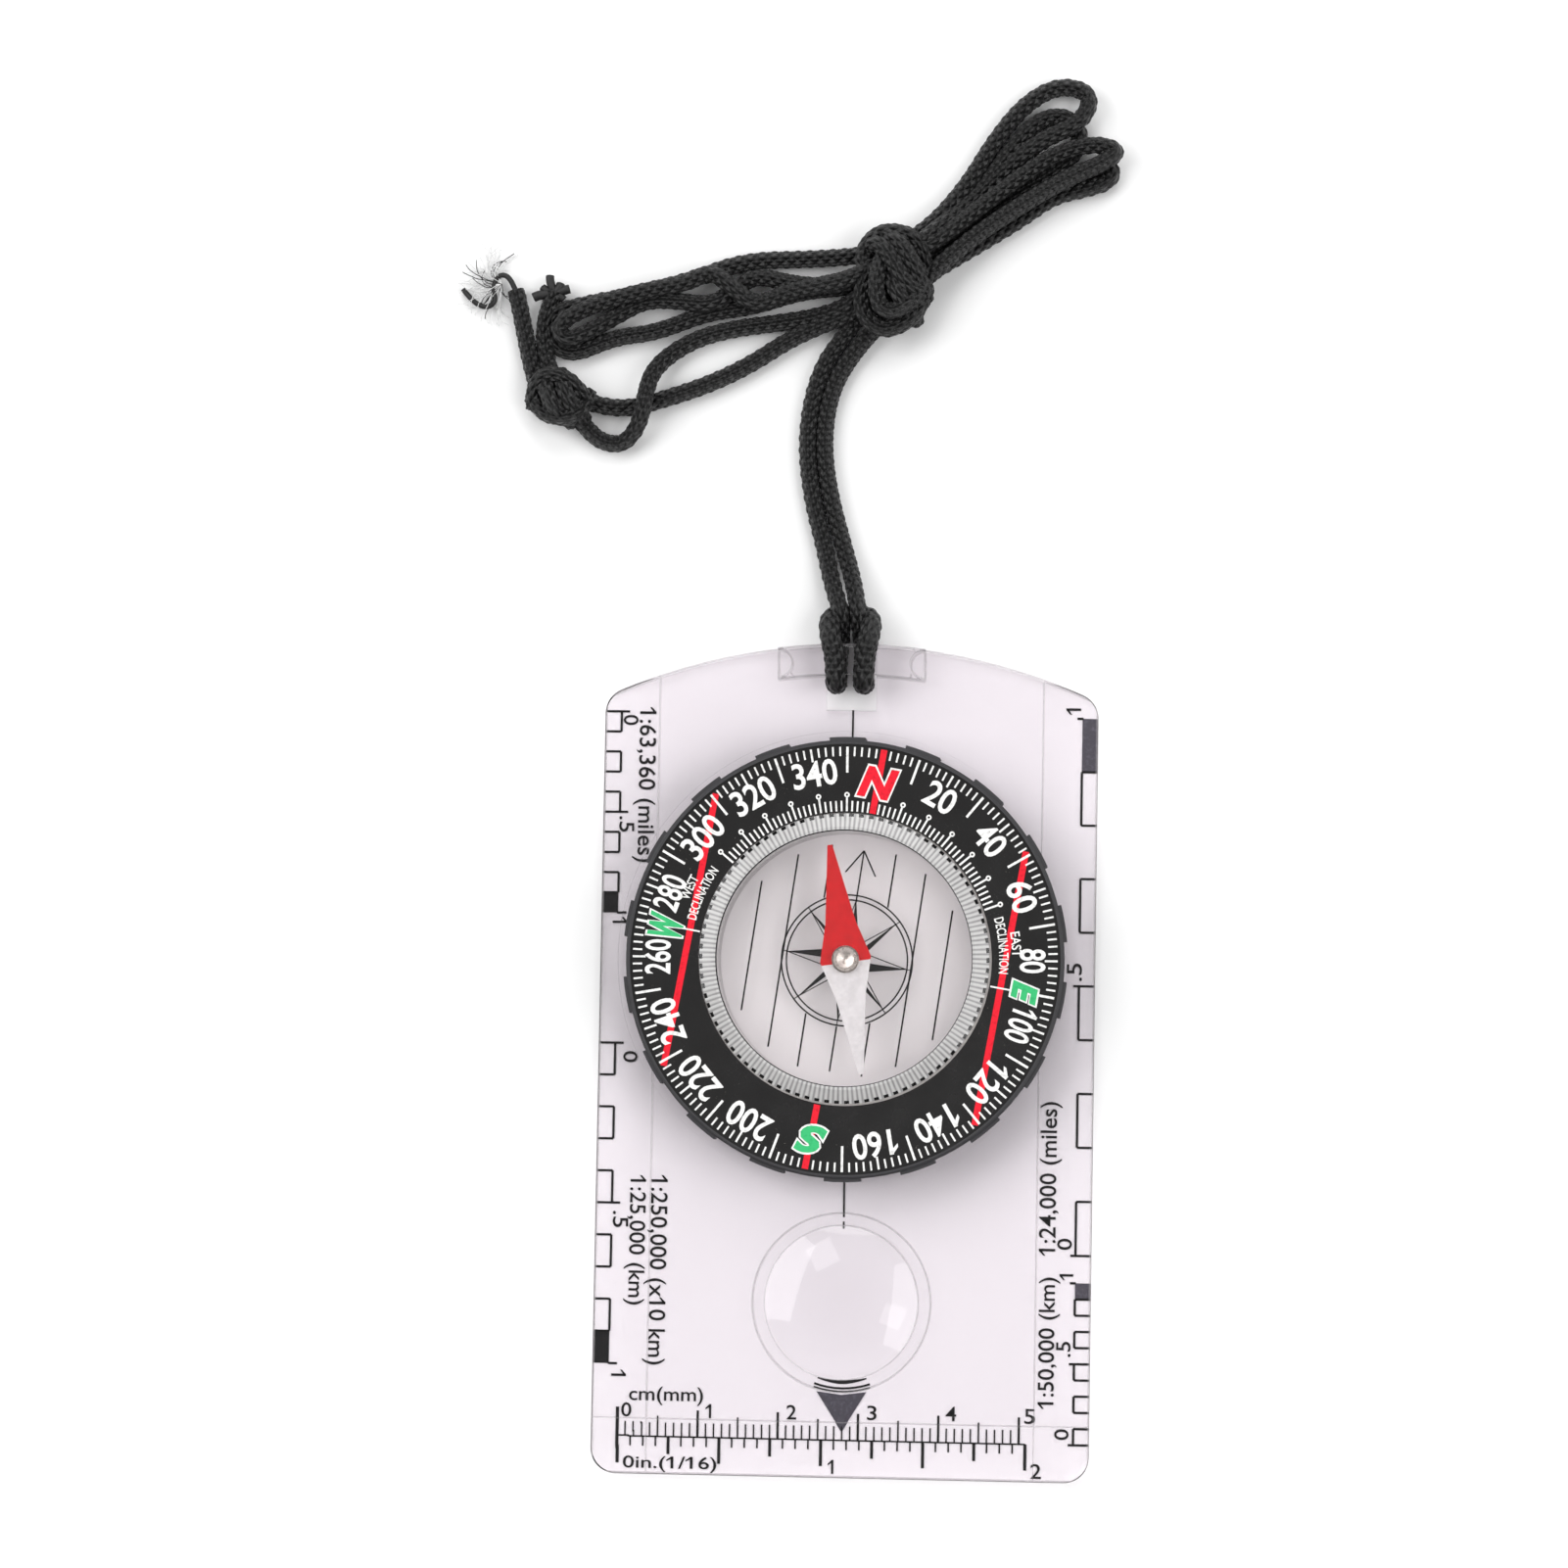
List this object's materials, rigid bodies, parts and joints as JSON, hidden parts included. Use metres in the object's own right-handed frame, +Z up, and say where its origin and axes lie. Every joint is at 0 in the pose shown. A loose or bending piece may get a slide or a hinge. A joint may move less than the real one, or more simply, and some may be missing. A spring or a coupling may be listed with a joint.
{
  "type": "baseplate compass",
  "caption": "Clear baseplate compass with map scales, magnifier, turning graduated bezel, declination-adjustable capsule, free needle and knotted neck cord.",
  "frame": {"origin": "middle of the baseplate's flat underside", "axes": "+Y along the plate towards the cord end, +X to the right seen from above, +Z up out of the dial"},
  "size_m": [0.0784, 0.1768, 0.01],
  "materials": {
    "clear_plate": "clear moulded acrylic",
    "clear_capsule": "clear moulded acrylic",
    "black_dial": "moulded ABS, printed white, red and green",
    "black_clip": "moulded acetal",
    "soft_ring": "moulded silicone",
    "steel_pin": "ground",
    "needle_paint": "red half and white half",
    "nickel_hub": "turned and nickel plated",
    "jewel": "polished",
    "black_cord": "braided polyester"
  },
  "bodies": {
    "baseplate": {"baseplate": "clear_plate", "lanyard_hitch": "black_cord", "lanyard_strand_left": "black_cord", "lanyard_strand_right": "black_cord", "lanyard_main_knot": "black_cord", "lanyard_hank_right": "black_cord", "lanyard_hank_left": "black_cord", "lanyard_end_looped": "black_cord", "lanyard_end_straight": "black_cord", "lanyard_end_knot": "black_cord", "lanyard_tail_frayed": "black_cord", "lanyard_tail_cut": "black_cord"},
    "bezel": {"bezel": "black_dial", "retaining_ring": "black_clip"},
    "capsule": {"capsule_base": "clear_capsule", "capsule_cover": "clear_capsule", "friction_ring": "soft_ring", "filler_plug": "steel_pin", "pivot_pin": "steel_pin"},
    "needle": {"needle": "needle_paint", "needle_cap": "nickel_hub", "jewel_bearing": "jewel"}
  },
  "joints": [
    {"name": "bezel_turn", "type": "hinge", "parent": "baseplate", "child": "bezel", "pos_m": [0, 0.0123, 0.003], "axis": [0, 0, 1], "continuous": true},
    {"name": "declination_turn", "type": "hinge", "parent": "bezel", "child": "capsule", "pos_m": [0, 0.0123, 0.003], "axis": [0, 0, 1], "range_deg": [-61.8, 58.2]},
    {"name": "needle_swing", "type": "hinge", "parent": "capsule", "child": "needle", "pos_m": [0, 0.0123, 0.005], "axis": [0, 0, 1], "continuous": true}
  ]
}
